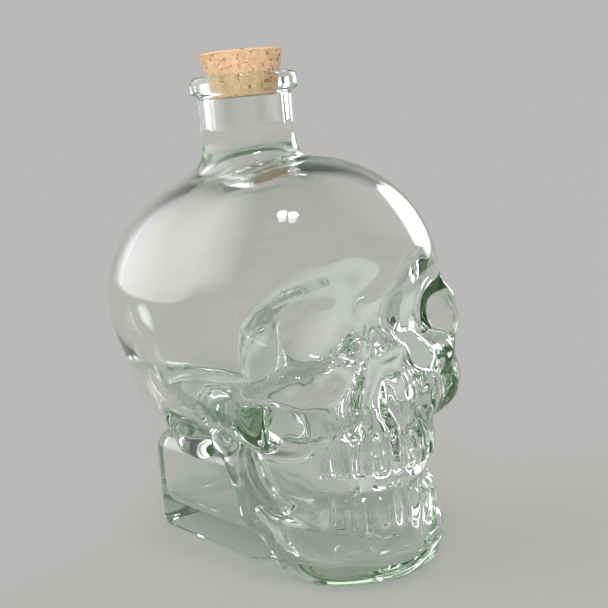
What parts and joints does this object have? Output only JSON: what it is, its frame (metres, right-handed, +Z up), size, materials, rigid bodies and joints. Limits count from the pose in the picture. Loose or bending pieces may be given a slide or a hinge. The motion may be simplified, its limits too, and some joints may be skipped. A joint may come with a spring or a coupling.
{
  "type": "skull bottle",
  "caption": "Clear glass spirit bottle moulded as a human skull, with a round neck and rolled lip on the crown, closed by a tapered cork that pulls straight out.",
  "frame": {"origin": "on the flat underside of the foot, where the axis of the neck meets the floor", "axes": "+Z up along the neck; -Y out of the face; +X to the skull's left"},
  "size_m": [0.1068, 0.1363, 0.176],
  "materials": {
    "glass": "clear polished glass with a faint green tint where it is thick",
    "cork": "pressed cork grains, matt"
  },
  "bodies": {
    "bottle": {"glass_bottle": "glass"},
    "cork": {"cork_stopper": "cork"}
  },
  "joints": [
    {"name": "cork_pull", "type": "slide", "parent": "bottle", "child": "cork", "axis": [0, 0, 1], "range_m": [0, 0.03]}
  ]
}
